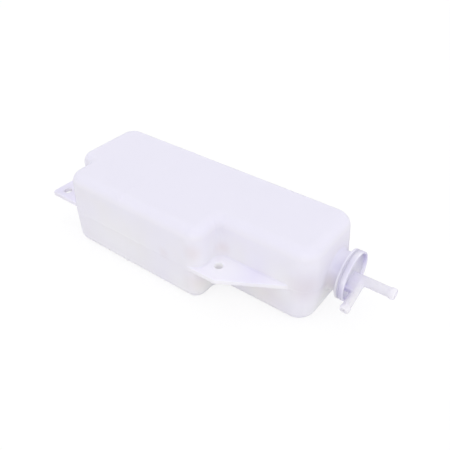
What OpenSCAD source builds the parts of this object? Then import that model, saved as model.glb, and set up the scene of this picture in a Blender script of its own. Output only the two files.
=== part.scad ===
// Coolant expansion tank: a blow-moulded tank with a push-in cap that carries two hose pipes.
// It lies as it rests on a bench. X runs along the tank towards the neck, Y to the back, Z up.
// The origin is below the middle of the whole part, on the surface that it rests on.

/* [Tank body] */
// Length of the body, from its far end to the end face with the neck
body_l = 279; // [230:1:320]
// Depth of the body at its widest, front to back
body_d = 114; // [100:1:140]
// Height of the body as it lies
body_h = 79; // [72:1:95]
// Thickness of the moulded wall
wall = 2.8; // [1.8:0.1:4]
// Radius of the shoulders round the top and the bottom
shoulder_r = 10.5; // [8:0.5:15]
// Slope of the side walls from the parting line, degrees
draft = 1.5; // [0.5:0.25:3]
// Further slope of the end face with the neck, degrees
end_lean = 3; // [0:0.25:5]
// Height of the parting line, of both plates and of the neck's axis
seam_z = 38.2; // [36:0.2:42]
// Radius of the upright outer corners
corner_r = 13; // [9:0.5:18]
// Radius of the two upright corners beside the neck
end_corner_r = 18; // [12:0.5:22]
// Radius of the upright corner at the front of the far end
far_front_r = 17; // [12:0.5:20]
// Radius of the upright inner corners, where the outline steps in
inner_corner_r = 10; // [6:0.5:14]

/* [Steps in the outline] */
// Length of the narrow stretch next to the neck
narrow_l = 94; // [75:1:110]
// How far the front steps back along the narrow stretch
narrow_step = 32; // [26:0.4:38]
// Length of the notch at the far end
notch_l = 19; // [18.5:0.5:24]
// How far back the notch reaches from the front
notch_d = 34.5; // [29:0.5:42]
// Radius of the upright outer corner at the notch
notch_outer_r = 11; // [7:0.5:11.5]
// Radius of the upright inner corner of the notch
notch_inner_r = 7; // [3:0.5:7.5]

/* [Lines in the mould] */
// How far the parting line stands out of the wall
seam_out = 0.3; // [0.1:0.05:0.5]
// Width of the parting line
seam_w = 1.0; // [0.6:0.1:1.6]
// Place of the level line, from the far end
level_at = 92; // [60:1:110]
// How far the level line stands out of the wall
level_out = 0.6; // [0.3:0.1:1]
// Width of the level line
level_w = 2.4; // [1.5:0.1:4]
// Height at which the level line ends, clear of the surface below
level_foot = 0.5; // [0.3:0.1:1.5]

/* [Mounting plates] */
// Thickness of both plates, pressed flat at the parting line
plate_t = 4.5; // [3:0.25:6]
// Diameter of the bolt hole in each plate
hole_d = 8; // [6:0.25:9]
// Distance of both holes from the front of the body
hole_in = 17.6; // [15:0.2:20]
// How far the end plate reaches past the far end of the body
tab_out = 15.6; // [12:0.2:24]
// Distance of the end plate's hole from its outer edge
tab_hole_in = 11.6; // [9:0.2:14]
// How far the end plate's front edge lies behind the front of the body
tab_front_in = 6.8; // [4:0.2:9]
// Length of the end plate's sloped back edge, measured along the depth
tab_slope_d = 14; // [10:0.5:20]
// Radius of the end plate's corners
tab_r = 3; // [1.5:0.5:6]
// Distance of the side plate's hole from the step
side_hole_out = 10; // [8:0.2:14]
// Length of the side plate's straight front edge, from the step
side_front_l = 17.8; // [14:0.2:22]
// Gap between the side plate's sloped end and the end face with the neck
side_end_gap = 21.5; // [18:0.5:30]

/* [Neck] */
// Distance of the neck's axis from the back of the body
neck_from_back = 35.4; // [32:0.2:39]
// Outer diameter of the neck
neck_d = 37.4; // [34:0.2:40]
// Thickness of the neck's wall
neck_wall = 2.5; // [2:0.1:3.5]
// Length of the neck, from the end face to its lip
neck_l = 11.4; // [10.4:0.2:20]
// Radius that blends the neck into the end face
neck_root_r = 4; // [2:0.5:4.5]
// How far that blend starts behind the middle of the end face, which slopes away from it
neck_root_in = 1.6; // [0:0.1:2]
// Diameter of the collar round the lip
collar_d = 46.8; // [43:0.2:49]
// Width of the collar
collar_w = 2.4; // [1.8:0.1:5]

/* [Cap] */
// Diameter of the cap's rim
rim_d = 46.8; // [44:0.2:50]
// Width of the rim
rim_w = 4.8; // [3.6:0.1:6]
// Thickness of the rim's wall round the recess
rim_wall = 2.6; // [1.8:0.1:3.4]
// Depth of the recess in the cap's face
recess_d = 2.5; // [1.5:0.1:3]
// Length of the plug that goes into the neck
plug_l = 9; // [7:0.5:12]
// Wall of the plug
plug_wall = 2; // [1.4:0.1:2.6]
// Clearance round the plug in the neck
plug_gap = 0.3; // [0.2:0.05:0.5]
// Gap between the seal and the lip, open until the cap is pressed home
seat_gap = 0.2; // [0.1:0.05:0.3]

/* [Hose pipes] */
// Outer diameter of the straight pipe
pipe_d = 8.9; // [8:0.1:9.6]
// How far the straight pipe stands out of the rim
pipe_l = 36.5; // [30:0.5:45]
// Bore of the straight pipe
pipe_bore = 4.6; // [3.5:0.1:5.4]
// Outer diameter of the side pipe
side_pipe_d = 7.6; // [7:0.1:8.4]
// Length of the side pipe, from the axis of the straight one
side_pipe_l = 33.5; // [28:0.5:40]
// Bore of the side pipe
side_bore = 3.8; // [3:0.1:4.6]
// Distance of the side pipe's axis from the rim's face
side_pipe_at = 6.6; // [6:0.1:9]
// Turn of the side pipe below the level, degrees
side_pipe_turn = 20; // [0:1:60]
// How far each pipe's end bead stands out
bead_out = 0.6; // [0.3:0.1:0.8]
// Length of each end bead
bead_l = 5; // [4:0.25:7]
// Distance of the side pipe's riser from the cap's axis
riser_at = 8.8; // [8.2:0.1:9.4]
// Outer diameter of the riser
riser_d = 7; // [6.4:0.1:7.4]
// Bore of the riser
riser_bore = 3; // [2.4:0.1:3.4]
// Thickness of the web between the riser and the straight pipe
web_t = 4; // [3:0.25:5]

/* [Seal and dip tube] */
// Outer diameter of the flat seal
seal_d = 45.4; // [42:0.2:46.2]
// Thickness of the flat seal
seal_t = 1.2; // [1:0.1:3]
// Outer diameter of the dip tube
dip_d = 8; // [7.6:0.1:9]
// Bore of the dip tube
dip_bore = 6; // [5.4:0.1:6.6]
// Clearance between the dip tube and the spigot inside it
spigot_gap = 0.05; // [0.03:0.01:0.08]
// Length of the spigot inside the dip tube
spigot_l = 16; // [12:0.5:20]
// Bore of the spigot
spigot_bore = 3.4; // [2.8:0.1:3.8]
// Gap between the dip tube's foot and the far wall of the tank
foot_gap = 6; // [4:0.5:12]

/* [Smoothness] */
// Steps round each rounded corner of the outside
skin_corner_steps = 6; // [4:1:7]
// Steps up each shoulder of the outside
skin_shoulder_steps = 5; // [4:1:6]
// Steps round each rounded corner of the cavity
cavity_corner_steps = 4; // [3:1:5]
// Steps up each shoulder of the cavity
cavity_shoulder_steps = 3; // [3:1:5]

/* [Hidden] */
$fn = 96;
// Depth that pipes and the web reach into what carries them
sink = 0.6;
// Bevel on the edges of the collar and the rim
bevel = 0.5;
// Bevel at the plug's end and radius at the pipes' ends
end_bevel = 1;
// Slope of the collar's underside, as length for height
collar_slope = 0.35;

// Places along X, so that the whole part is centred on the origin
cap_out = neck_l + seat_gap + seal_t + rim_w + pipe_l;
end_x = (body_l + tab_out - cap_out) / 2;
far_x = end_x - body_l;
step_x = end_x - narrow_l;
notch_x = far_x + notch_l;
lip_x = end_x + neck_l;
seal_x = lip_x + seat_gap;
cap_x = seal_x + seal_t;
rim_x = cap_x + rim_w;
tip_x = rim_x + pipe_l;

// Places along Y
front_y = -body_d / 2;
back_y = body_d / 2;
narrow_y = front_y + narrow_step;
notch_y = front_y + notch_d;
neck_y = back_y - neck_from_back;

// Bolt holes
tab_x = far_x - tab_out;
tab_hole_x = tab_x + tab_hole_in;
side_hole_x = step_x + side_hole_out;
hole_y = front_y + hole_in;

// Fits
neck_r = neck_d / 2;
neck_bore_r = neck_r - neck_wall;
plug_r = neck_bore_r - plug_gap;
pipe_r = pipe_d / 2;
side_r = side_pipe_d / 2;
dip_r = dip_d / 2;
spigot_r = dip_bore / 2 - spigot_gap;
floor_x = rim_x - recess_d;
side_x = rim_x + side_pipe_at;
foot_x = far_x + wall + foot_gap;
plug_x = cap_x - plug_l;

// Corners of the body's outline, anticlockwise from the front of the far end. Each one is its point,
// 1 where the outline turns left or -1 where it turns right, and its radius. The end face lies back
// by lean, which grows away from the parting line.
function outline(lean) = [
    [notch_x, front_y, 1, far_front_r],
    [step_x, front_y, 1, corner_r],
    [step_x, narrow_y, -1, inner_corner_r],
    [end_x - lean, narrow_y, 1, end_corner_r],
    [end_x - lean, back_y, 1, end_corner_r],
    [far_x, back_y, 1, corner_r],
    [far_x, notch_y, 1, notch_outer_r],
    [notch_x, notch_y, -1, notch_inner_r],
];

function heading(a, b) = atan2(b[1] - a[1], b[0] - a[0]);

// Points of one corner after the outline moved in by d. The centre of its arc stays where it is
// until the radius has run out, and then moves in with the outline.
function corner_arc(before, at, after, d, steps) =
    let (
        way = heading(before, at),
        turn = at[2],
        r = max(at[3] - turn * d, 0.6),
        in = d + turn * r,
        inward = [cos(way + 90) + cos(way + 90 + turn * 90), sin(way + 90) + sin(way + 90 + turn * 90)]
    )
    [for (i = [0 : steps])
        let (a = way - turn * 90 + turn * 90 * i / steps)
        [at[0] + in * inward[0] + r * cos(a), at[1] + in * inward[1] + r * sin(a)]];

// The whole outline at that height over the parting line, moved in by d
function ring(height, d, steps) =
    let (line = outline(abs(height) * tan(end_lean)), n = len(line))
    [for (k = [0 : n - 1])
        each corner_arc(line[(k + n - 1) % n], line[k], line[(k + 1) % n], d, steps)];

// Height from the parting line and inset of each ring of a skin that lies in by skin,
// from the wall's end at the shoulder to the flat face that is reach away
function shoulder(reach, skin, steps) =
    let (
        r = shoulder_r - skin,
        arc_z = reach - skin - r,
        start_in = skin + (arc_z + r * sin(draft)) * tan(draft) - r * (1 - cos(draft))
    )
    [for (i = [0 : steps])
        let (a = draft + (90 - draft) * i / steps)
        [arc_z + r * sin(a), start_in + r * (1 - cos(a))]];

// Rings of a whole skin from the bottom to the top
function skin_rings(skin, steps) =
    let (down = shoulder(seam_z, skin, steps), up = shoulder(body_h - seam_z, skin, steps))
    concat([for (i = [steps : -1 : 0]) [-down[i][0], down[i][1]]], [[0, skin]], up);

// Closed solid inside one skin, as rings of the outline laid one over another. Both flat faces
// fan out from a point on the neck's axis that sees the whole outline.
module skin_solid(skin, corner_steps, shoulder_steps) {
    rings = skin_rings(skin, shoulder_steps);
    levels = len(rings);
    per = len(outline(0)) * (corner_steps + 1);
    below = levels * per;
    above = below + 1;
    middle = [(notch_x + step_x) / 2, neck_y];
    points = [
        for (level = rings) each
            [for (p = ring(level[0], level[1], corner_steps)) [p[0], p[1], seam_z + level[0]]],
        [middle[0], middle[1], seam_z + rings[0][0]],
        [middle[0], middle[1], seam_z + rings[levels - 1][0]],
    ];
    sides = [for (k = [0 : levels - 2]) each [for (i = [0 : per - 1])
        let (j = (i + 1) % per)
        [k * per + i, (k + 1) * per + i, (k + 1) * per + j, k * per + j]]];
    bottom = [for (i = [0 : per - 1]) [below, i, (i + 1) % per]];
    top = [for (i = [0 : per - 1]) [above, below - per + (i + 1) % per, below - per + i]];
    polyhedron(points, concat(bottom, sides, top), convexity = 6);
}

// Flat outline of the parting line, where the halves of the mould met
module parting_line() {
    translate([0, 0, seam_z - seam_w / 2]) linear_extrude(seam_w)
        polygon(ring(0, -seam_out, skin_corner_steps));
}

// Turns a shape drawn along Z so that it lies along X at the neck's axis
module along_neck() {
    translate([0, neck_y, seam_z]) rotate([0, 90, 0]) children();
}

// Section of the body across its length, that much larger than the skin, down to the foot of the level line
module cross_section(grow) {
    side = [for (p = skin_rings(-grow, skin_shoulder_steps)) [p[1], max(p[0], level_foot - seam_z)]];
    n = len(side);
    polygon([
        for (p = side) [back_y - p[0], p[1]],
        for (i = [1 : n]) [front_y + side[n - i][0], side[n - i][1]],
    ]);
}

// Raised line round the body that marks the coolant's level
module level_line() {
    translate([far_x + level_at - level_w / 2, 0, seam_z]) rotate([90, 0, 90])
        linear_extrude(level_w) cross_section(level_out);
}

// Outline of the end plate in the notch
module tab_outline() {
    edge_y = front_y + tab_front_in;
    slope_y = notch_y + tab_slope_d;
    root_x = notch_x + corner_r;
    polygon([
        [tab_x, notch_y],
        for (a = [0 : 10 : 90]) [tab_x + tab_r - tab_r * cos(a), edge_y + tab_r - tab_r * sin(a)],
        [root_x, edge_y],
        [root_x, slope_y],
        [far_x, slope_y],
    ]);
}

// Outline of the side plate in the step
module side_outline() {
    polygon([
        [step_x - corner_r, front_y],
        [step_x + side_front_l, front_y],
        [end_x - side_end_gap, narrow_y],
        [end_x - side_end_gap, narrow_y + corner_r],
        [step_x - corner_r, narrow_y + corner_r],
    ]);
}

module plate() {
    translate([0, 0, seam_z - plate_t / 2]) linear_extrude(plate_t) children();
}

// Outside of the neck, from inside the wall to the lip
module neck_outside() {
    root = neck_root_r;
    start = -neck_root_in;
    along_neck() translate([0, 0, end_x]) rotate_extrude() polygon([
        [0, -wall],
        [neck_r + root, -wall],
        each [for (a = [0 : 15 : 90])
            [neck_r + root - root * sin(a), start + (root - start) * (1 - cos(a))]],
        [neck_r, neck_l - collar_w - (collar_d / 2 - neck_r) * collar_slope],
        [collar_d / 2 - bevel, neck_l - collar_w],
        [collar_d / 2, neck_l - collar_w + bevel],
        [collar_d / 2, neck_l - bevel],
        [collar_d / 2 - bevel, neck_l],
        [0, neck_l],
    ]);
}

module tank() {
    color([0.91, 0.91, 0.96])
    difference() {
        union() {
            skin_solid(0, skin_corner_steps, skin_shoulder_steps);
            parting_line();
            level_line();
            plate() tab_outline();
            plate() side_outline();
            neck_outside();
        }
        skin_solid(wall, cavity_corner_steps, cavity_shoulder_steps);
        along_neck() translate([0, 0, end_x - 2 * wall]) cylinder(h = neck_l + 3 * wall, r = neck_bore_r);
        for (x = [tab_hole_x, side_hole_x])
            translate([x, hole_y, seam_z - plate_t]) cylinder(h = 2 * plate_t, d = hole_d);
    }
}

// Outside of a hose pipe that stands on z = 0, with its rounded end bead
module pipe_outside(r, length) {
    bead_r = r + bead_out;
    rotate_extrude() polygon([
        [0, 0],
        [r, 0],
        [r, length - bead_l - bead_out],
        [bead_r, length - bead_l],
        [bead_r, length - end_bevel],
        each [for (a = [15 : 15 : 90]) [bead_r, length] - end_bevel * [1 - cos(a), 1 - sin(a)]],
        [0, length],
    ]);
}

// Turns a shape drawn along Z at the side pipe's place to point out to the side
module along_side_pipe() {
    translate([side_x, neck_y, seam_z]) rotate([90 + side_pipe_turn, 0, 0]) children();
}

// Turns a shape drawn along Z so that it lies along X beside the neck's axis, under the side pipe
module along_riser() {
    translate([0, neck_y - riser_at * cos(side_pipe_turn), seam_z - riser_at * sin(side_pipe_turn)])
        rotate([0, 90, 0]) children();
}

// Rim, recessed face and plug of the cap, turned about the neck's axis
module cap_shell() {
    rim_r = rim_d / 2;
    along_neck() rotate_extrude() polygon([
        [0, cap_x],
        [plug_r - plug_wall, cap_x],
        [plug_r - plug_wall, plug_x],
        [plug_r - end_bevel, plug_x],
        [plug_r, plug_x + end_bevel],
        [plug_r, cap_x],
        [rim_r - bevel, cap_x],
        [rim_r, cap_x + bevel],
        [rim_r, rim_x - bevel],
        [rim_r - bevel, rim_x],
        [rim_r - rim_wall + bevel, rim_x],
        [rim_r - rim_wall, rim_x - bevel],
        [rim_r - rim_wall, floor_x],
        [0, floor_x],
    ]);
}

module cap() {
    color([0.86, 0.85, 0.95])
    difference() {
        union() {
            cap_shell();
            along_neck() translate([0, 0, floor_x - sink]) pipe_outside(pipe_r, tip_x - floor_x + sink);
            along_neck() translate([0, 0, cap_x - spigot_l]) cylinder(h = spigot_l + sink, r = spigot_r);
            along_riser() translate([0, 0, floor_x - sink])
                cylinder(h = side_x - floor_x + sink, d = riser_d);
            along_side_pipe() pipe_outside(side_r, side_pipe_l);
            translate([floor_x - sink, neck_y, seam_z]) rotate([90 + side_pipe_turn, 0, 0])
                translate([0, -web_t / 2, 0]) cube([side_x - floor_x + sink, web_t, riser_at]);
        }
        along_neck() translate([0, 0, cap_x + sink]) cylinder(h = tip_x - cap_x, d = pipe_bore);
        along_neck() translate([0, 0, cap_x - spigot_l - 1])
            cylinder(h = spigot_l + 1 + 2 * sink, d = spigot_bore);
        along_riser() translate([0, 0, cap_x - 1]) cylinder(h = side_x - cap_x + 1 + sink, d = riser_bore);
        along_side_pipe() translate([0, 0, riser_at - sink]) cylinder(h = side_pipe_l, d = side_bore);
    }
}

module cap_seal() {
    color([0.72, 0.72, 0.78])
    along_neck() translate([0, 0, seal_x]) difference() {
        cylinder(h = seal_t, d = seal_d);
        translate([0, 0, -1]) cylinder(h = seal_t + 2, r = plug_r + spigot_gap);
    }
}

module dip_tube() {
    color([0.88, 0.88, 0.9])
    along_neck() translate([0, 0, foot_x]) difference() {
        cylinder(h = cap_x - foot_x, r = dip_r);
        translate([0, 0, -1]) cylinder(h = cap_x - foot_x + 2, d = dip_bore);
    }
}

tank();
cap();
cap_seal();
dip_tube();
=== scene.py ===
"""Coolant expansion tank: the looks of its blow-moulded tank, its cap with two hose pipes, its
seal and its dip tube.

Every moulded piece is described as a distance field in millimetres, in the CAD model's frame, and
skinned on a grid whose lines lie closer where the shape is fine. Where the pieces end is read from
the CAD model's nodes.
"""

import math
from types import SimpleNamespace

import bmesh
import bpy
import numpy as np
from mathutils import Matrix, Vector


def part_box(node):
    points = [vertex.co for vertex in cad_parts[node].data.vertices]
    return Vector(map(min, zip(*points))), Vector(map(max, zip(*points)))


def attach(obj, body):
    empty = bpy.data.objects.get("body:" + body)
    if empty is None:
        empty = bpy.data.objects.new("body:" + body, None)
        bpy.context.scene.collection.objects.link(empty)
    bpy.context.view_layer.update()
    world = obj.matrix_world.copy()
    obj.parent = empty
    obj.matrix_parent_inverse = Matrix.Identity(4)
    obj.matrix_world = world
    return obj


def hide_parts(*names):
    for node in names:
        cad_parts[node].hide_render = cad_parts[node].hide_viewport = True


bl_info = {
    "name": "Coolant expansion tank",
    "version": (1, 0, 0),
    "blender": (4, 5, 0),
    "location": "3D View > Sidebar > Tank",
    "description": "Builds the tank, its cap, seal and dip tube, and the stage they lie on",
    "category": "Object",
}

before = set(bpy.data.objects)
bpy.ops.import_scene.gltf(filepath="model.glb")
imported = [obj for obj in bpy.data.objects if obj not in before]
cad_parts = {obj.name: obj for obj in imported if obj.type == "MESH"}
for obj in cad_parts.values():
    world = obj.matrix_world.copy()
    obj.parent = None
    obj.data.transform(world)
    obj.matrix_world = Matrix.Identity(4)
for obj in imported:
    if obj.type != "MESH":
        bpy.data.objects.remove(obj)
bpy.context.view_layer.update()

MM = 1000.0


def cad(node):
    """Lowest and highest corner of a CAD node in millimetres."""
    low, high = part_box(node)
    return [v * MM for v in low], [v * MM for v in high]


# ---------------------------------------------------------------- sizes and colours


class TankSizes(bpy.types.PropertyGroup):
    """Main sizes of the tank."""

    length: bpy.props.FloatProperty(
        name="Body length",
        description="From the far end to the end face with the neck",
        default=0.279, unit="LENGTH",
    )
    depth: bpy.props.FloatProperty(
        name="Body depth",
        description="Front to back at the widest",
        default=0.114, unit="LENGTH",
    )
    height: bpy.props.FloatProperty(
        name="Body height",
        description="Height as it lies",
        default=0.079, unit="LENGTH",
    )
    seam: bpy.props.FloatProperty(
        name="Parting line",
        description="Height of the parting line, the plates and the neck",
        default=0.0382, unit="LENGTH",
    )
    wall: bpy.props.FloatProperty(
        name="Wall",
        description="Thickness of the moulded wall",
        default=0.0028, unit="LENGTH",
    )
    shoulder: bpy.props.FloatProperty(
        name="Shoulder",
        description="Radius round the top and the bottom",
        default=0.0105, unit="LENGTH",
    )
    neck: bpy.props.FloatProperty(
        name="Neck",
        description="Outer radius of the neck",
        default=0.0187, unit="LENGTH",
    )
    plate: bpy.props.FloatProperty(
        name="Plates",
        description="Thickness of the mounting plates",
        default=0.0045, unit="LENGTH",
    )
    hole: bpy.props.FloatProperty(
        name="Holes",
        description="Radius of the bolt holes",
        default=0.004, unit="LENGTH",
    )
    draft: bpy.props.FloatProperty(
        name="Draft",
        description="Slope of the side walls",
        default=math.radians(1.5), subtype="ANGLE",
    )
    lean: bpy.props.FloatProperty(
        name="End slope",
        description="Further slope of the end face",
        default=math.radians(3.0), subtype="ANGLE",
    )


class CapSizes(bpy.types.PropertyGroup):
    """Main sizes of the cap."""

    rim: bpy.props.FloatProperty(
        name="Rim",
        description="Outer radius of the cap's rim and of the collar on the neck",
        default=0.0234, unit="LENGTH",
    )
    rim_width: bpy.props.FloatProperty(
        name="Rim width",
        description="From the seal to the cap's face",
        default=0.0048, unit="LENGTH",
    )
    pipe: bpy.props.FloatProperty(
        name="Straight pipe",
        description="Radius of the straight hose pipe behind its bead",
        default=0.00445, unit="LENGTH",
    )
    side_pipe: bpy.props.FloatProperty(
        name="Side pipe",
        description="Radius of the side hose pipe behind its bead",
        default=0.0038, unit="LENGTH",
    )
    turn: bpy.props.FloatProperty(
        name="Side pipe's turn",
        description="How far the side pipe points below level",
        default=math.radians(20.0), subtype="ANGLE",
    )


class Finishes(bpy.types.PropertyGroup):
    """Colours of the plastics and the floor."""

    milky: bpy.props.FloatVectorProperty(
        name="Tank", description="Milky plastic of the tank",
        size=3, subtype="COLOR", default=(0.85, 0.828, 1.0),
    )
    cap: bpy.props.FloatVectorProperty(
        name="Cap", description="Plastic of the cap",
        size=3, subtype="COLOR", default=(0.84, 0.815, 1.0),
    )
    # Grey rubber, its tone darkened as a painted shade of the groove between the cap's rim and the
    # collar.
    seal: bpy.props.FloatVectorProperty(
        name="Seal", description="Rubber of the seal",
        size=3, subtype="COLOR", default=(0.66, 0.64, 0.78),
    )
    tube: bpy.props.FloatVectorProperty(
        name="Dip tube", description="Milky plastic of the tube",
        size=3, subtype="COLOR", default=(0.80, 0.80, 0.84),
    )
    floor: bpy.props.FloatVectorProperty(
        name="Floor", description="Pale floor",
        size=3, subtype="COLOR", default=(0.9, 0.9, 0.9),
    )


def in_mm(sizes, *names):
    """Lengths of a group of settings in millimetres."""
    return [round(getattr(sizes, name) * MM, 4) for name in names]


# Lesser sizes of the tank, in millimetres
TAB_REACH = 15.6  # from the far plate's end to the far wall
NARROW_LENGTH = 94.0  # from the step to the end face
STEP_DEPTH = 32.0  # from the front of the wide part to the front of the narrow one
NOTCH_LENGTH = 19.0  # from the far wall to the notch's end
NOTCH_DEPTH = 33.5  # from the front to the notch's back
NECK_INSET = 35.4  # from the back to the neck's axis
NECK_WALL = 2.5
COLLAR_WIDTH = 2.4
LEVEL_PLACE = 92.0  # from the far wall to the level line
LEVEL_WIDTH = 2.6  # to each side of the level line
HOLE_INSET = 17.6  # from the front to the bolt holes
TAB_HOLE = 11.6  # from the far plate's end to its hole
SIDE_HOLE = 10.0  # from the step to the side plate's hole
PLATE_INSET = 6.8  # from the front to the far plate
SLANT_START = 17.8  # from the step to the side plate's front corner
SLANT_END = 21.5  # from the end face to where the side plate runs out

# Radii of the body's corners, in millimetres
FAR_CORNER, END_CORNER, STEP_CORNER = 17.0, 18.0, 13.0
NOTCH_OUTER, NOTCH_INNER = 14.0, 5.0
CORNER_AT_SEAM, CORNER_AT_TOP = 10.0, 4.0  # the step's inner corner, sharper toward the top

# Lesser sizes of the cap, in millimetres, with its round parts by their radius
PIPE_LENGTH = 36.5  # from the cap's face to the straight pipe's tip
SIDE_LENGTH = 33.5  # from the neck's axis to the side pipe's tip
SIDE_PLACE = 6.6  # from the cap's face to the side pipe's axis
PIPE_BORE, SIDE_BORE, SPIGOT_BORE, RISER_BORE = 1.8, 1.4, 1.7, 1.5
BEAD_LENGTH, BEAD_HEIGHT = 5.0, 0.6
RECESS, RECESS_DEPTH = 21.7, 2.9
PLUG, PLUG_WALL, PLUG_DEPTH = 15.9, 2.0, 9.0
SPIGOT, SPIGOT_DEPTH = 2.95, 16.0
RISER, RISER_PLACE = 3.5, 8.8  # the place is measured from the neck's axis
WEB_HALF, WEB_REACH = 3.8, 15.0  # half the web's thickness, and its end from the neck's axis
PLAY = 0.05  # between a ring and what it sits on
SQUEEZE, SWELL = 0.15, 0.3  # of the seal, against its free width and radius


def tank_places(sizes):
    """Where the parts of the tank lie in millimetres, from its sizes and the CAD node's ends."""
    length, depth, height, seam = in_mm(sizes, "length", "depth", "height", "seam")
    low, high = cad("tank")
    tab, lip = low[0], high[0]
    front, back = -depth / 2, depth / 2
    far = tab + TAB_REACH
    end = far + length
    step = end - NARROW_LENGTH
    return SimpleNamespace(
        tab=tab, lip=lip, front=front, back=back, far=far, end=end, step=step,
        height=height, seam=seam, narrow=front + STEP_DEPTH, neck_y=back - NECK_INSET,
        notch_x=far + NOTCH_LENGTH, notch_y=front + NOTCH_DEPTH, level=far + LEVEL_PLACE,
        hole_y=front + HOLE_INSET, holes=(tab + TAB_HOLE, step + SIDE_HOLE),
    )


# ---------------------------------------------------------------- outlines and fields


def rounded_outline(corners):
    """Straight lines and arcs of a closed outline, whose corners are each x, y and radius."""
    arcs, ends = [], []
    n = len(corners)
    for k in range(n):
        before, at, after = (np.array(corners[(k + i) % n][:2], float) for i in (-1, 0, 1))
        radius = corners[k][2]
        a = (at - before) / np.linalg.norm(at - before)
        b = (after - at) / np.linalg.norm(after - at)
        turn = math.atan2(a[0] * b[1] - a[1] * b[0], a @ b)
        reach = radius * math.tan(abs(turn) / 2)
        side = math.copysign(1.0, turn)
        centre = at - a * reach + side * radius * np.array([-a[1], a[0]])
        middle = (b - a) * side / np.linalg.norm(b - a)
        arcs.append((centre, radius, side, -middle * side, math.cos(abs(turn) / 2)))
        ends.append((at - a * reach, at + b * reach))
    lines = [(ends[k][1], ends[(k + 1) % n][0]) for k in range(n)]
    return lines, arcs


def outline_distance(x, y, outline):
    """Signed distance from an outline of lines and arcs, negative inside."""
    lines, arcs = outline
    x, y = np.broadcast_arrays(x, y)
    best = np.full(x.shape, np.inf)
    signed = np.zeros(x.shape)
    for start, end in lines:
        way = end - start
        length = np.linalg.norm(way)
        way = way / length
        px, py = x - start[0], y - start[1]
        along = np.clip(px * way[0] + py * way[1], 0, length)
        away = np.hypot(px - along * way[0], py - along * way[1])
        out = px * way[1] - py * way[0]
        near = away < best
        best = np.where(near, away, best)
        signed = np.where(near, np.where(out > 0, away, -away), signed)
    for centre, radius, side, middle, reach in arcs:
        px, py = x - centre[0], y - centre[1]
        r = np.hypot(px, py)
        inside_wedge = (px * middle[0] + py * middle[1]) >= reach * r - 1e-9
        value = (r - radius) * side
        away = np.abs(value)
        near = inside_wedge & (away < best)
        best = np.where(near, away, best)
        signed = np.where(near, value, signed)
    return signed


def joined(a, b, radius):
    """Union of two fields with a fillet."""
    u, v = np.maximum(radius - a, 0), np.maximum(radius - b, 0)
    return np.maximum(radius, np.minimum(a, b)) - np.hypot(u, v)


def common(a, b, radius):
    """Intersection of two fields with a rounded edge."""
    u, v = np.maximum(radius + a, 0), np.maximum(radius + b, 0)
    return np.minimum(-radius, np.maximum(a, b)) + np.hypot(u, v)


def cut(a, b, radius):
    """Field a without field b, with a rounded edge."""
    return common(a, -b, radius)


def rod(along, away, start, end, radius, ease):
    """Round bar between two places along its axis, with rounded ends."""
    middle, half = (start + end) / 2, (end - start) / 2
    return common(away - radius, np.abs(along - middle) - half, ease)


# ---------------------------------------------------------------- skin of a field


def grid_lines(low, high, coarse, zones, growth=0.35):
    """Places of grid lines, coarse apart and closer near each zone of from, to and step."""
    at = [low]
    while at[-1] < high:
        here = at[-1]
        step = coarse
        for start, end, fine in zones:
            away = max(start - here, here - end, 0.0)
            step = min(step, fine + growth * away)
        at.append(here + step)
    return np.array(at)


def skin_of(field, xs, ys, zs, rounds=5):
    """Points and quads of the surface on which a field is zero, one point in each cell on it."""
    values = field(xs[:, None, None], ys[None, :, None], zs[None, None, :])
    values = np.broadcast_to(values, (len(xs), len(ys), len(zs)))
    inside = values < 0
    cells = tuple(n - 1 for n in values.shape)
    total = np.zeros(cells + (3,))
    count = np.zeros(cells, np.int32)
    axes = (xs, ys, zs)
    crossings = []
    for axis in range(3):
        low = [slice(None)] * 3
        high = [slice(None)] * 3
        low[axis], high[axis] = slice(None, -1), slice(1, None)
        crossing = inside[tuple(low)] != inside[tuple(high)]
        index = np.array(np.nonzero(crossing)).T
        a = values[tuple(low)][crossing]
        b = values[tuple(high)][crossing]
        share = a / (a - b)
        place = np.stack([axes[k][index[:, k]] for k in range(3)], axis=1)
        lines = axes[axis]
        place[:, axis] += share * (lines[index[:, axis] + 1] - lines[index[:, axis]])
        others = [k for k in range(3) if k != axis]
        for i in (0, 1):
            for j in (0, 1):
                cell = index.copy()
                cell[:, others[0]] -= i
                cell[:, others[1]] -= j
                good = np.all((cell >= 0) & (cell < np.array(cells)), axis=1)
                flat = np.ravel_multi_index(cell[good].T, cells)
                for k in range(3):
                    summed = np.bincount(flat, place[good][:, k], count.size)
                    total[..., k] += summed.reshape(cells)
                counted = np.bincount(flat, minlength=count.size)
                count += counted.reshape(cells).astype(np.int32)
        crossings.append((index, inside[tuple(low)][crossing], others))
    used = count > 0
    number = np.full(cells, -1)
    number[used] = np.arange(used.sum())
    points = total[used] / count[used][:, None]
    quads = []
    for axis, (index, starts_inside, others) in enumerate(crossings):
        a, b = others
        around = []
        for i, j in ((1, 1), (0, 1), (0, 0), (1, 0)):
            cell = index.copy()
            cell[:, a] -= i
            cell[:, b] -= j
            inside_grid = tuple(np.clip(cell[:, k], 0, cells[k] - 1) for k in range(3))
            around.append(number[inside_grid])
        quad = np.stack(around, axis=1)
        flip = starts_inside if axis != 1 else ~starts_inside
        quad[~flip] = quad[~flip][:, ::-1]
        quads.append(quad)
    for _ in range(rounds):
        value = field(points[:, 0], points[:, 1], points[:, 2])
        slope = slope_of(field, points)
        size = np.maximum((slope**2).sum(axis=1), 0.05)
        points = points - slope * np.clip(value / size, -1.0, 1.0)[:, None]
    return points, np.concatenate(quads)


def slope_of(field, points, reach=0.02):
    """Gradient of a field at some points."""
    out = []
    for k in range(3):
        ahead, behind = points.copy(), points.copy()
        ahead[:, k] += reach
        behind[:, k] -= reach
        out.append((field(*ahead.T) - field(*behind.T)) / (2 * reach))
    return np.stack(out, axis=1)


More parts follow.
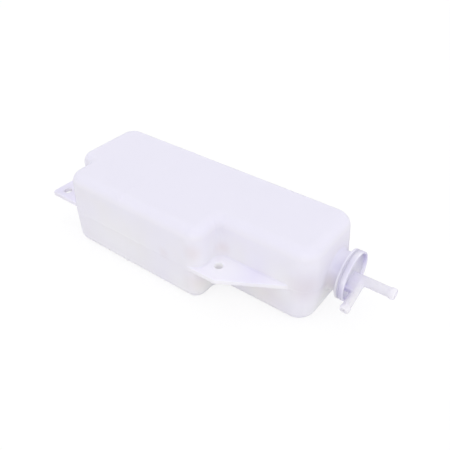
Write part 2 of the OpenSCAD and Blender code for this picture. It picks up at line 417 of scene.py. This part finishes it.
def moulded(name, field, xs, ys, zs, flat_angle=0.15):
    """Mesh object of a field's surface, its flat parts dissolved, its normals the field's own."""
    points, quads = skin_of(field, xs, ys, zs)
    mesh = bpy.data.meshes.new(name)
    mesh.from_pydata((points / MM).tolist(), [], quads.tolist())
    shape = bmesh.new()
    shape.from_mesh(mesh)
    bmesh.ops.dissolve_degenerate(shape, dist=1e-6, edges=shape.edges)
    bmesh.ops.dissolve_limit(
        shape, angle_limit=math.radians(flat_angle), use_dissolve_boundaries=False,
        verts=shape.verts, edges=shape.edges,
    )
    bmesh.ops.triangulate(shape, faces=[f for f in shape.faces if len(f.verts) > 4])
    for face in shape.faces:
        face.smooth = True
    shape.to_mesh(mesh)
    shape.free()
    places = np.empty(len(mesh.vertices) * 3)
    mesh.vertices.foreach_get("co", places)
    normals = slope_of(field, places.reshape(-1, 3) * MM)
    normals /= np.maximum(np.linalg.norm(normals, axis=1), 1e-9)[:, None]
    mesh.normals_split_custom_set_from_vertices(normals.tolist())
    piece = bpy.data.objects.new(name, mesh)
    bpy.context.scene.collection.objects.link(piece)
    return piece


# ---------------------------------------------------------------- materials


def shared_group(name, inputs, outputs):
    """Empty shader node group with named float or colour inputs and outputs."""
    group = bpy.data.node_groups.new(name, "ShaderNodeTree")
    for label, kind, value in inputs:
        socket = group.interface.new_socket(name=label, in_out="INPUT", socket_type=kind)
        socket.default_value = value
    for label, kind in outputs:
        group.interface.new_socket(name=label, in_out="OUTPUT", socket_type=kind)
    return group, group.nodes.new("NodeGroupInput"), group.nodes.new("NodeGroupOutput")


def skin_tone_and_painted_light_group():
    """Tone of a moulded surface, times a factor each for walls, painted light, warm places and
    painted shade. The wall factor is a painted shade that makes upright faces greyer than the top,
    in a random mottle.
    """
    known = bpy.data.node_groups.get("skin_tone_and_painted_light")
    if known:
        return known
    factors = ("Wall", "Light", "Warm", "Shade")
    inputs = [("Tone", "NodeSocketColor", (0.8, 0.8, 0.86, 1))]
    inputs += [(kind + " factor", "NodeSocketColor", (1, 1, 1, 1)) for kind in factors]
    inputs += [(kind, "NodeSocketFloat", 0.0) for kind in factors]
    outputs = [("Color", "NodeSocketColor"), ("Height", "NodeSocketFloat")]
    group, source, result = shared_group("skin_tone_and_painted_light", inputs, outputs)
    nodes, link = group.nodes, group.links.new
    place = nodes.new("ShaderNodeTexCoord")
    cloud = nodes.new("ShaderNodeTexNoise")
    cloud.inputs["Scale"].default_value = 18.0
    cloud.inputs["Detail"].default_value = 3.0
    link(place.outputs["Object"], cloud.inputs["Vector"])
    spread = nodes.new("ShaderNodeMapRange")
    spread.inputs["From Min"].default_value = 0.4
    spread.inputs["From Max"].default_value = 0.65
    spread.inputs["To Min"].default_value = 0.6
    link(cloud.outputs["Fac"], spread.inputs["Value"])
    # Painted shade: upright faces, mottled by the cloud, take the wall factor and come out greyer
    # than the top.
    facing = nodes.new("ShaderNodeSeparateXYZ")
    link(place.outputs["Normal"], facing.inputs["Vector"])
    upright = nodes.new("ShaderNodeMapRange")
    upright.interpolation_type = "SMOOTHSTEP"
    upright.inputs["From Min"].default_value = 0.8
    upright.inputs["From Max"].default_value = 0.2
    link(facing.outputs["Z"], upright.inputs["Value"])
    wall = calculated(group, "MULTIPLY", spread.outputs["Result"], upright.outputs["Result"])
    shares = {kind: source.outputs[kind] for kind in factors}
    shares["Wall"] = calculated(group, "MULTIPLY", wall, source.outputs["Wall"])
    color = source.outputs["Tone"]
    # Painted shade on the walls, painted light, warm places and painted shade, each multiplied in
    # to its share.
    for kind in factors:
        color = scaled(group, shares[kind], color, source.outputs[kind + " factor"])
    link(color, result.inputs["Color"])
    peel = nodes.new("ShaderNodeTexNoise")
    peel.inputs["Scale"].default_value = 260.0
    peel.inputs["Detail"].default_value = 2.0
    link(place.outputs["Object"], peel.inputs["Vector"])
    link(peel.outputs["Fac"], result.inputs["Height"])
    return group


def soft_spot_group():
    """Mask that is highest at a place and fades out at its reach."""
    known = bpy.data.node_groups.get("soft_spot")
    if known:
        return known
    inputs = [
        ("Centre", "NodeSocketVector", (0, 0, 0)), ("Reach", "NodeSocketFloat", 0.01),
        ("Share", "NodeSocketFloat", 1.0),
    ]
    group, source, result = shared_group("soft_spot", inputs, [("Mask", "NodeSocketFloat")])
    nodes, link = group.nodes, group.links.new
    place = nodes.new("ShaderNodeTexCoord")
    away = nodes.new("ShaderNodeVectorMath")
    away.operation = "DISTANCE"
    link(place.outputs["Object"], away.inputs[0])
    link(source.outputs["Centre"], away.inputs[1])
    fade = nodes.new("ShaderNodeMapRange")
    fade.interpolation_type = "SMOOTHSTEP"
    link(away.outputs["Value"], fade.inputs["Value"])
    link(source.outputs["Reach"], fade.inputs["From Min"])
    fade.inputs["From Max"].default_value = 0.0
    link(source.outputs["Share"], fade.inputs["To Max"])
    link(fade.outputs["Result"], result.inputs["Mask"])
    return group


def calculated(tree, operation, a, b):
    """Result socket of one sum on two sockets."""
    node = tree.nodes.new("ShaderNodeMath")
    node.operation = operation
    tree.links.new(a, node.inputs[0])
    tree.links.new(b, node.inputs[1])
    return node.outputs[0]


def scaled(tree, share, color, factor):
    """Result socket of a colour that is multiplied by a factor, to a share."""
    node = tree.nodes.new("ShaderNodeMix")
    node.data_type = "RGBA"
    node.blend_type = "MULTIPLY"
    tree.links.new(share, node.inputs["Factor"])
    tree.links.new(color, node.inputs["A"])
    tree.links.new(factor, node.inputs["B"])
    return node.outputs["Result"]


def with_spots(tree, mask, spots):
    """The mask joined with soft spots, each a centre and reach in millimetres and a share."""
    for centre, reach, share in spots:
        spot = tree.nodes.new("ShaderNodeGroup")
        spot.node_tree = soft_spot_group()
        spot.inputs["Centre"].default_value = [v / MM for v in centre]
        spot.inputs["Reach"].default_value = reach / MM
        spot.inputs["Share"].default_value = share
        own = spot.outputs["Mask"]
        mask = calculated(tree, "MAXIMUM", mask, own) if mask else own
    return mask


def plastic(name, tone, factors, grazing_shade_from, roughness, scatter, depth, peel, wall=0.0, spots=None):
    """Satin plastic with the mould's skin, painted light and painted shade. Factors and spots go by
    the skin's kinds of share; the shade share also holds a painted shade that darkens the colour
    where the surface turns away from the camera.
    """
    spots = spots or {}
    material = bpy.data.materials.new(name)
    material.use_nodes = True
    tree = material.node_tree
    nodes, link = tree.nodes, tree.links.new
    shader = nodes["Principled BSDF"]
    skin = nodes.new("ShaderNodeGroup")
    skin.node_tree = skin_tone_and_painted_light_group()
    skin.inputs["Tone"].default_value = (*tone, 1)
    for kind, factor in factors.items():
        skin.inputs[kind + " factor"].default_value = (*factor, 1)
    skin.inputs["Wall"].default_value = wall
    # Painted shade: the colour darkens toward the outlines, where the surface turns away from the
    # camera, joined with the painted shade spots.
    rim = nodes.new("ShaderNodeLayerWeight")
    edge = nodes.new("ShaderNodeMapRange")
    edge.interpolation_type = "SMOOTHSTEP"
    edge.inputs["From Min"].default_value = grazing_shade_from
    edge.inputs["From Max"].default_value = 1.0
    link(rim.outputs["Facing"], edge.inputs["Value"])
    link(with_spots(tree, edge.outputs["Result"], spots.get("Shade", ())), skin.inputs["Shade"])
    # Spots of painted light, and of warm places.
    for kind in ("Light", "Warm"):
        if kind in spots:
            link(with_spots(tree, None, spots[kind]), skin.inputs[kind])
    link(skin.outputs["Color"], shader.inputs["Base Color"])
    bump = nodes.new("ShaderNodeBump")
    bump.inputs["Strength"].default_value = peel
    bump.inputs["Distance"].default_value = 0.0002
    link(skin.outputs["Height"], bump.inputs["Height"])
    link(bump.outputs["Normal"], shader.inputs["Normal"])
    shader.inputs["Roughness"].default_value = roughness
    shader.inputs["IOR"].default_value = 1.5
    shader.inputs["Specular IOR Level"].default_value = 0.35
    shader.inputs["Subsurface Weight"].default_value = scatter
    shader.inputs["Subsurface Radius"].default_value = (1.0, 1.0, 1.0)
    shader.inputs["Subsurface Scale"].default_value = depth
    return material


def dressed(piece, material, body, slot, *nodes):
    """Gives a piece its material and its CAD body, and hides the CAD nodes that it stands for. The
    slot is not used.
    """
    piece.data.materials.append(material)
    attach(piece, body)
    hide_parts(*nodes)


# ---------------------------------------------------------------- the pieces


def body_outline(at, inner):
    """Outline of the body, with a given radius in the step's inner corner."""
    return rounded_outline([
        (at.notch_x, at.front, FAR_CORNER), (at.step, at.front, STEP_CORNER),
        (at.step, at.narrow, inner), (at.end, at.narrow, END_CORNER),
        (at.end, at.back, END_CORNER), (at.far, at.back, FAR_CORNER),
        (at.far, at.notch_y, NOTCH_OUTER), (at.notch_x, at.notch_y, NOTCH_INNER),
    ])


def tab_outline(at):
    """Outline of the far plate, which fills the notch's corner and reaches into the body."""
    return rounded_outline([
        (at.tab, at.front + PLATE_INSET, 3), (at.notch_x + 13, at.front + PLATE_INSET, 1),
        (at.notch_x + 13, at.notch_y + 14, 1), (at.far, at.notch_y + 14, 1),
        (at.tab, at.notch_y, 3),
    ])


def side_outline(at):
    """Outline of the side plate, which fills the step's corner and reaches into the body."""
    return rounded_outline([
        (at.step - 13, at.front, 1), (at.step + SLANT_START, at.front, 2),
        (at.end - SLANT_END, at.narrow, 4), (at.end - SLANT_END, at.narrow + 13, 1),
        (at.step - 13, at.narrow + 13, 1),
    ])


def tank_field(sizes, collar, at):
    """Field of the tank with its plates, neck, parting line, level line and hollow."""
    wall_size, shoulder, neck_size = in_mm(sizes, "wall", "shoulder", "neck")
    plate, hole_size = in_mm(sizes, "plate", "hole")
    low_line, top_line = (body_outline(at, inner) for inner in (CORNER_AT_SEAM, CORNER_AT_TOP))
    plate_lines = (tab_outline(at), side_outline(at))

    def body(x, y, z):
        """Plain body, its outline's distance and how near it is to a bend at top or bottom."""
        up = z - at.seam
        lean = np.clip((x - at.step - 20) / 25, 0, 1) * np.abs(up) * math.tan(sizes.lean)
        out = outline_distance(x + lean, y, low_line)
        sharper = np.clip((up - 4) / 22, 0, 1)
        out = out + sharper * (outline_distance(x + lean, y, top_line) - out)
        wall = (out + np.abs(up) * math.tan(sizes.draft)) * math.cos(sizes.draft)
        lid = np.where(up > 0, up - (at.height - at.seam), -up - at.seam)
        bend = np.clip(1 - np.abs(wall - lid) / 12, 0, 1)
        return common(wall, lid, shoulder), out, bend

    def field(x, y, z):
        shell, out, bend = body(x, y, z)
        up = z - at.seam
        near = np.clip(1 - np.abs(x - at.level) / LEVEL_WIDTH, 0, 1)
        height = (0.15 + 0.45 * bend) * np.clip(z / 3, 0, 1)
        outer = shell - height * near * near * (3 - 2 * near)
        parting = common(out - 0.1, np.abs(up) - 0.6, 0.3)
        outer = joined(outer, parting, 0.5)
        slab = np.abs(up) - plate / 2
        for line in plate_lines:
            outer = joined(outer, common(outline_distance(x, y, line), slab, 0.7), 1.6)
        away = np.hypot(y - at.neck_y, up)
        neck = rod(x, away, at.end - 6, at.lip, neck_size, 0.4)
        neck = joined(neck, rod(x, away, at.lip - COLLAR_WIDTH, at.lip, collar, 0.6), 1.0)
        outer = joined(outer, neck, 3.6)
        bore = rod(x, away, at.end - 9, at.lip + 9, neck_size - NECK_WALL, 0.2)
        outer = cut(outer, joined(shell + wall_size, bore, 1.0), 0.3)
        for hole_x in at.holes:
            hole = np.hypot(x - hole_x, y - at.hole_y) - hole_size
            outer = np.where(np.abs(up) < 8, cut(outer, hole, 0.8), outer)
        return outer

    return field


def tank_grid(at):
    """Grid lines for the tank, close at its holes, corners, shoulders, plates and neck."""
    xs = grid_lines(at.tab - 2, at.lip + 2, 6.0, [
        (at.tab - 1, at.tab + 1, 0.6), (at.holes[0] - 5, at.holes[0] + 5, 0.7),
        (at.far - 1, at.far + 12, 1.2), (at.notch_x - 2, at.notch_x + 15, 1.4),
        (at.level - LEVEL_WIDTH, at.level + LEVEL_WIDTH, 0.6), (at.step - 12, at.step + 10, 1.3),
        (at.holes[1] - 5, at.holes[1] + 5, 0.7), (at.end - 20, at.end - 8, 1.4),
        (at.end - 8, at.lip + 1, 0.8),
    ])
    ys = grid_lines(at.front - 2, at.back + 2, 5.0, [
        (at.front - 1, at.front + 16, 1.3), (at.hole_y - 5, at.hole_y + 5, 0.8),
        (at.notch_y - 4, at.narrow + 16, 1.3), (at.neck_y - 24, at.neck_y - 14, 1.0),
        (at.neck_y - 14, at.neck_y + 14, 2.0), (at.neck_y + 14, at.neck_y + 24, 1.0),
        (at.back - 16, at.back + 1, 1.3),
    ])
    zs = grid_lines(-2, at.height + 2.6, 5.0, [
        (-1, 11, 1.1), (at.seam - 24, at.seam - 14, 1.1), (at.seam - 3.5, at.seam + 3.5, 0.4),
        (at.seam + 14, at.seam + 24, 1.1), (at.height - 12, at.height + 1.5, 1.1),
    ])
    return xs, ys, zs


def tank_spots(at):
    """Soft spots of the tank's tone, each a centre, a reach and a share: painted light on the
    plates and low on the walls and corners, warm places, and painted shade on the far plate, the
    neck, the collar and the end corner.
    """
    return {
        # Painted light where shade falls: on both plates, at the step and low on the walls.
        "Light": [
            ((at.step + 12, at.front + 20, at.seam), 38, 0.9),
            ((at.end - 32, at.narrow + 2, at.seam), 26, 0.6),
            ((at.step, at.front + 14, 14), 24, 1.0),
            ((at.end, at.neck_y - 14, 14), 34, 1.0),
            ((at.step + 40, at.narrow, 16), 26, 0.6),
            ((at.far + 90, at.front, 18), 70, 0.5),
            ((at.step - 20, at.front, 10), 30, 0.5),
            ((at.tab + 12, at.front + 18, at.seam), 24, 0.5),
        ],
        "Warm": [
            ((at.step - 5, at.front, 56), 14, 1.0),
            ((at.step + 4, at.narrow - 2, 49), 11, 1.0),
            ((at.step - 2, at.front + 2, 22), 22, 0.9),
            ((at.end - 8, at.narrow + 3, 42), 24, 0.8),
            ((at.step + 50, at.narrow, 22), 26, 0.7),
            ((at.end, at.neck_y, 20), 12, 0.9),
            ((at.tab + 10, at.front + 16, at.seam), 28, 0.35),
            ((at.step - 39, at.front, 42), 9, 0.6),
            ((at.end, at.neck_y - 15, 38), 14, 1.0),
        ],
        # Painted shade on the far plate, low on the neck's front, on the collar and in the end
        # corner.
        "Shade": [
            ((at.tab + 8, at.front + 14, at.seam), 26, 0.5),
            ((at.lip - 2, at.neck_y - 18, at.seam), 20, 0.7),
            ((at.lip - 1, at.neck_y - 16, at.seam + 17), 16, 0.6),
            ((at.end - 3, at.narrow + 3, 45), 24, 0.4),
        ],
    }


class TANK_OT_body(bpy.types.Operator):
    """Skin the blow-moulded tank with its plates, neck, parting line and level line."""

    bl_idname = "tank.body"
    bl_label = "Tank"

    def execute(self, context):
        scene = context.scene
        places = tank_places(scene.tank_sizes)
        collar = in_mm(scene.tank_cap_sizes, "rim")[0]
        field = tank_field(scene.tank_sizes, collar, places)
        piece = moulded("tank_shell", field, *tank_grid(places))
        # Wall: painted shade that makes the walls greyer than the top. Light: painted light. Shade:
        # painted shade. Warm: warm places.
        factors = {
            "Wall": (1.0, 1.0, 0.9), "Light": (1.08, 1.1, 1.0),
            "Warm": (0.96, 0.925, 0.9), "Shade": (0.8, 0.8, 0.82),
        }
        material = plastic(
            "milky tank plastic", scene.tank_finishes.milky, factors, grazing_shade_from=0.72,
            roughness=0.5, scatter=0.5, depth=0.004, peel=0.1, wall=0.9,
            spots=tank_spots(places),
        )
        dressed(piece, material, "tank", "tank_plastic", "tank")
        return {"FINISHED"}


def cap_places(sizes, tank):
    """Where the parts of the cap lie in millimetres, from its tip and the neck's axis."""
    tip = cad("cap")[1][0]
    rim = tip - PIPE_LENGTH
    return SimpleNamespace(
        tip=tip, rim=rim, seat=rim - in_mm(sizes, "rim_width")[0], floor=rim - RECESS_DEPTH,
        side=rim + SIDE_PLACE, axis_y=tank.neck_y, axis_z=tank.seam,
    )


def hose_pipe(along, away, radius, length, start):
    """Field of a round pipe with a bead at its end."""
    straight = rod(along, away, start, length, radius, 0.5)
    bead = rod(along, away, length - BEAD_LENGTH, length, radius + BEAD_HEIGHT, 1.4)
    return joined(straight, bead, 0.8)


def cap_field(sizes, at):
    """Field of the cap with its rim, plug, spigot, riser, web and both hose pipes, all drilled."""
    rim_size, pipe, side_pipe = in_mm(sizes, "rim", "pipe", "side_pipe")
    way_y, way_z = -math.cos(sizes.turn), -math.sin(sizes.turn)
    web_middle, web_half = (at.floor - 1 + at.side) / 2, (at.side - at.floor + 1) / 2

    def disc(x, away):
        """Rim with its recess, plug and spigot."""
        shape = rod(x, away, at.seat, at.rim, rim_size, 0.6)
        shape = cut(shape, rod(x, away, at.floor, at.rim + 9, RECESS, 0.4), 0.4)
        shape = joined(shape, rod(x, away, at.seat - PLUG_DEPTH, at.seat + 1, PLUG, 0.8), 0.2)
        shape = cut(shape, rod(x, away, at.seat - 19, at.seat, PLUG - PLUG_WALL, 0.4), 0.3)
        spigot = rod(x, away, at.seat - SPIGOT_DEPTH, at.seat + 1, SPIGOT, 0.3)
        return joined(shape, spigot, 0.5)

    def field(x, y, z):
        dy, dz = y - at.axis_y, z - at.axis_z
        away = np.hypot(dy, dz)
        out = dy * way_y + dz * way_z
        across = dz * way_y - dy * way_z
        off_riser = np.hypot(out - RISER_PLACE, across)
        off_side = np.hypot(x - at.side, across)
        pipes = hose_pipe(x, away, pipe, at.tip, at.floor - 1)
        riser = rod(x, off_riser, at.floor - 1, at.side + 3, RISER, 1.0)
        branch = joined(riser, hose_pipe(out, off_side, side_pipe, SIDE_LENGTH, 0), 0.8)
        web = common(np.abs(across) - WEB_HALF, np.abs(out - WEB_REACH / 2) - WEB_REACH / 2, 0.8)
        web = common(web, np.abs(x - web_middle) - web_half, 0.6)
        pipes = joined(pipes, joined(branch, web, 1.2), 1.8)
        shape = joined(disc(x, away), pipes, 1.0)
        shape = cut(shape, rod(x, away, at.seat + 0.6, at.tip + 9, PIPE_BORE, 0.1), 0.5)
        shape = cut(shape, rod(x, away, at.seat - 19, at.seat + 2, SPIGOT_BORE, 0.1), 0.2)
        shape = cut(shape, rod(x, off_riser, at.seat - 3, at.side + 1, RISER_BORE, 0.1), 0.2)
        return cut(shape, rod(out, off_side, 8.2, 50, SIDE_BORE, 0.1), 0.5)

    return field


def cap_grid(at):
    """Grid lines for the cap, close at its rim, pipes and beads."""
    xs = grid_lines(at.seat - 18, at.tip + 1.5, 2.0, [
        (at.seat - 10, at.seat - 7, 0.6), (at.seat - 1, at.rim + 1, 0.4),
        (at.rim, at.side + 6, 0.6), (at.tip - 7, at.tip + 1, 0.45),
    ])
    ys = grid_lines(at.axis_y - 34, at.axis_y + 25, 1.2, [
        (at.axis_y - 34, at.axis_y - 25, 0.5), (at.axis_y - 24, at.axis_y + 24, 0.7),
    ])
    zs = grid_lines(at.axis_z - 25, at.axis_z + 25, 1.2, [
        (at.axis_z - 24, at.axis_z + 24, 0.7), (at.axis_z - 17, at.axis_z + 6, 0.55),
    ])
    return xs, ys, zs


def cap_spots(at):
    """Soft spots of the cap's tone, each a centre, a reach and a share: painted light on the side
    pipe and the straight pipe's tip, painted shade on the rim's far side, on its near band and low
    on the front by the seal.
    """
    return {
        # Painted light on the side pipe and the straight pipe's tip.
        "Light": [
            ((at.side, at.axis_y - 24, at.axis_z - 9), 22, 1.0),
            ((at.tip, at.axis_y, at.axis_z), 9, 1.0),
        ],
        # Painted shade on the rim's far side, its near band and low on the front by the seal.
        "Shade": [
            ((at.rim, at.axis_y + 17, at.axis_z + 12), 24, 1.0),
            ((at.rim - 3, at.axis_y - 13, at.axis_z + 18), 22, 0.5),
            ((at.rim - 8, at.axis_y - 22, at.axis_z - 4), 20, 0.9),
            ((at.rim - 8, at.axis_y - 14, at.axis_z - 18), 20, 0.9),
        ],
    }


class TANK_OT_cap(bpy.types.Operator):
    """Skin the cap with its rim, plug and two hose pipes."""

    bl_idname = "tank.cap"
    bl_label = "Cap"

    def execute(self, context):
        scene = context.scene
        sizes = scene.tank_cap_sizes
        places = cap_places(sizes, tank_places(scene.tank_sizes))
        piece = moulded("cap_with_pipes", cap_field(sizes, places), *cap_grid(places))
        # Painted light and painted shade factors of the cap.
        factors = {"Light": (1.06, 1.05, 1.0), "Shade": (0.62, 0.61, 0.68)}
        material = plastic(
            "cap plastic", scene.tank_finishes.cap, factors, grazing_shade_from=0.6,
            roughness=0.45, scatter=0.9, depth=0.006, peel=0.1, spots=cap_spots(places),
        )
        dressed(piece, material, "cap", "cap_plastic", "cap")
        return {"FINISHED"}


def turned(name, profile, centre_y, centre_z, steps=96):
    """Closed ring swept round the neck's direction from a profile of x and radius."""
    shape = bmesh.new()
    rings = []
    for k in range(steps):
        a = 2 * math.pi * k / steps
        rings.append([
            shape.verts.new([
                v / MM for v in (x, centre_y + r * math.cos(a), centre_z + r * math.sin(a))
            ]) for x, r in profile
        ])
    n = len(profile)
    for k in range(steps):
        near, far = rings[k], rings[(k + 1) % steps]
        for i in range(n):
            shape.faces.new((near[i], near[(i + 1) % n], far[(i + 1) % n], far[i]))
    bmesh.ops.recalc_face_normals(shape, faces=shape.faces)
    for face in shape.faces:
        face.smooth = True
    for edge in shape.edges:
        edge.smooth = edge.calc_face_angle(0) < math.radians(40)
    mesh = bpy.data.meshes.new(name)
    shape.to_mesh(mesh)
    shape.free()
    piece = bpy.data.objects.new(name, mesh)
    bpy.context.scene.collection.objects.link(piece)
    return piece


def eased_ring(start, end, inner, outer, ease=0.25):
    """Profile of a ring with eased edges."""
    return [
        (start + ease, inner), (start, inner + ease), (start, outer - ease), (start + ease, outer),
        (end - ease, outer), (end, outer - ease), (end, inner + ease), (end - ease, inner),
    ]


def ring_places(node):
    """Start, end, outer radius and centre of a round CAD node that lies along the neck."""
    low, high = cad(node)
    outer = (high[1] - low[1]) / 2
    return low[0], high[0], outer, (high[1] + low[1]) / 2, (high[2] + low[2]) / 2


class TANK_OT_seal(bpy.types.Operator):
    """Turn the flat rubber seal under the cap's rim."""

    bl_idname = "tank.seal"
    bl_label = "Seal"

    def execute(self, context):
        tone = context.scene.tank_finishes.seal
        start, end, outer, centre_y, centre_z = ring_places("cap_seal")
        profile = eased_ring(start - SQUEEZE, end, PLUG + PLAY, outer + SWELL)
        piece = turned("flat_seal", profile, centre_y, centre_z)
        # Grey rubber toned dark as a painted shade of the groove, with painted shade toward its
        # outlines.
        material = plastic(
            "seal rubber and groove shade", tone, {"Shade": (0.8, 0.8, 0.8)}, grazing_shade_from=0.72,
            roughness=0.6, scatter=0.0, depth=0.001, peel=0.2,
        )
        dressed(piece, material, "cap", "seal_rubber", "cap_seal")
        return {"FINISHED"}


class TANK_OT_tube(bpy.types.Operator):
    """Turn the dip tube that reaches to the far end."""

    bl_idname = "tank.tube"
    bl_label = "Dip tube"

    def execute(self, context):
        tone = context.scene.tank_finishes.tube
        start, end, outer, centre_y, centre_z = ring_places("dip_tube")
        profile = eased_ring(start, end, SPIGOT + PLAY, outer)
        piece = turned("dip_tube_milky", profile, centre_y, centre_z, 48)
        # Painted shade toward the tube's outlines.
        material = plastic(
            "tube plastic", tone, {"Shade": (0.9, 0.9, 0.9)}, grazing_shade_from=0.72,
            roughness=0.35, scatter=0.3, depth=0.002, peel=0.1,
        )
        dressed(piece, material, "cap", "tube_plastic", "dip_tube")
        return {"FINISHED"}


# ---------------------------------------------------------------- the stage


def area_lamp(name, place, target, width, watts):
    """Soft square lamp that faces a point."""
    data = bpy.data.lights.new(name, "AREA")
    data.shape = "SQUARE"
    data.size = width
    data.energy = watts
    lamp = bpy.data.objects.new(name, data)
    lamp.location = place
    lamp.rotation_euler = (Vector(target) - Vector(place)).to_track_quat("-Z", "Y").to_euler()
    bpy.context.scene.collection.objects.link(lamp)


def seen_or_lighting(tree, lighting, seen):
    """Colour that is one value as light, and another where a camera or a reflection looks."""
    path = tree.nodes.new("ShaderNodeLightPath")
    looked_at = calculated(
        tree, "MAXIMUM", path.outputs["Is Camera Ray"], path.outputs["Is Glossy Ray"]
    )
    looked_at = calculated(tree, "MAXIMUM", looked_at, path.outputs["Is Transmission Ray"])
    mix = tree.nodes.new("ShaderNodeMix")
    mix.data_type = "RGBA"
    mix.inputs["A"].default_value = (*lighting, 1)
    mix.inputs["B"].default_value = (*seen, 1)
    tree.links.new(looked_at, mix.inputs["Factor"])
    return mix.outputs["Result"]


def pale_floor(tone, half_width=6.0):
    """Floor that looks white to the camera and still takes a shadow."""
    shape = bmesh.new()
    bmesh.ops.create_grid(shape, x_segments=1, y_segments=1, size=half_width)
    mesh = bpy.data.meshes.new("floor")
    shape.to_mesh(mesh)
    shape.free()
    floor = bpy.data.objects.new("floor", mesh)
    bpy.context.scene.collection.objects.link(floor)
    material = bpy.data.materials.new("pale floor")
    material.use_nodes = True
    tree = material.node_tree
    shader = tree.nodes["Principled BSDF"]
    shader.inputs["Roughness"].default_value = 1.0
    shader.inputs["Specular IOR Level"].default_value = 0.0
    shader.inputs["Emission Strength"].default_value = 1.0
    glow = seen_or_lighting(tree, [0.0] * 3, [0.79] * 3)
    base = seen_or_lighting(tree, tone, [0.23] * 3)
    tree.links.new(glow, shader.inputs["Emission Color"])
    tree.links.new(base, shader.inputs["Base Color"])
    floor.data.materials.append(material)
    return floor


def soft_room():
    """World that lights a little weaker than the white that it shows."""
    world = bpy.data.worlds.new("soft room")
    world.use_nodes = True
    tree = world.node_tree
    color = seen_or_lighting(tree, [0.95] * 3, [1.0] * 3)
    tree.links.new(color, tree.nodes["Background"].inputs["Color"])
    return world


def camera_at(place, azimuth, tilt):
    """Camera at a place, turned from the back toward the far end and tilted down."""
    data = bpy.data.cameras.new("camera")
    data.sensor_width = 36.0
    data.lens = 44.0
    data.clip_start = 0.01
    data.clip_end = 20.0
    half_pixel = 0.5 / 450
    data.shift_x = -half_pixel
    data.shift_y = half_pixel
    camera = bpy.data.objects.new("camera", data)
    camera.location = place
    level = math.cos(tilt)
    look = Vector((-math.sin(azimuth) * level, math.cos(azimuth) * level, -math.sin(tilt)))
    camera.rotation_euler = look.to_track_quat("-Z", "Y").to_euler()
    bpy.context.scene.collection.objects.link(camera)
    return camera


class TANK_OT_stage(bpy.types.Operator):
    """Set the floor, the light and the camera."""

    bl_idname = "tank.stage"
    bl_label = "Stage"

    def execute(self, context):
        scene = context.scene
        floor = pale_floor(scene.tank_finishes.floor)
        scene.world = soft_room()
        area_lamp("key", (1.15, -0.95, 1.0), (0, 0, 0.03), width=1.6, watts=3.5)
        scene.camera = camera_at(
            (0.25885, -0.326, 0.36), azimuth=math.radians(36.9), tilt=math.radians(37.2)
        )
        scene.view_settings.view_transform = "Standard"
        return {"FINISHED"}


class TANK_PT_panel(bpy.types.Panel):
    """Lists the sizes, the colours and the operators of the tank."""

    bl_idname = "TANK_PT_panel"
    bl_label = "Coolant tank"
    bl_space_type = "VIEW_3D"
    bl_region_type = "UI"
    bl_category = "Tank"

    def draw(self, context):
        for group, kind in SETTINGS.items():
            box = self.layout.box()
            for name in kind.__annotations__:
                box.prop(getattr(context.scene, group), name)
        for operator in ("tank.body", "tank.cap", "tank.seal", "tank.tube", "tank.stage"):
            self.layout.operator(operator)


CLASSES = (
    TankSizes, CapSizes, Finishes,
    TANK_OT_body, TANK_OT_cap, TANK_OT_seal, TANK_OT_tube, TANK_OT_stage, TANK_PT_panel,
)
SETTINGS = {"tank_sizes": TankSizes, "tank_cap_sizes": CapSizes, "tank_finishes": Finishes}


def register():
    """Adds the classes and the settings they read."""
    for kind in CLASSES:
        bpy.utils.register_class(kind)
    for name, kind in SETTINGS.items():
        setattr(bpy.types.Scene, name, bpy.props.PointerProperty(type=kind))


def unregister():
    """Takes the settings and the classes away again."""
    for name in SETTINGS:
        delattr(bpy.types.Scene, name)
    for kind in reversed(CLASSES):
        bpy.utils.unregister_class(kind)


def main():
    """Builds everything in order."""
    register()
    bpy.ops.tank.body()
    bpy.ops.tank.cap()
    bpy.ops.tank.seal()
    bpy.ops.tank.tube()
    bpy.ops.tank.stage()
    bpy.context.view_layer.update()


if __name__ == "__main__":
    main()
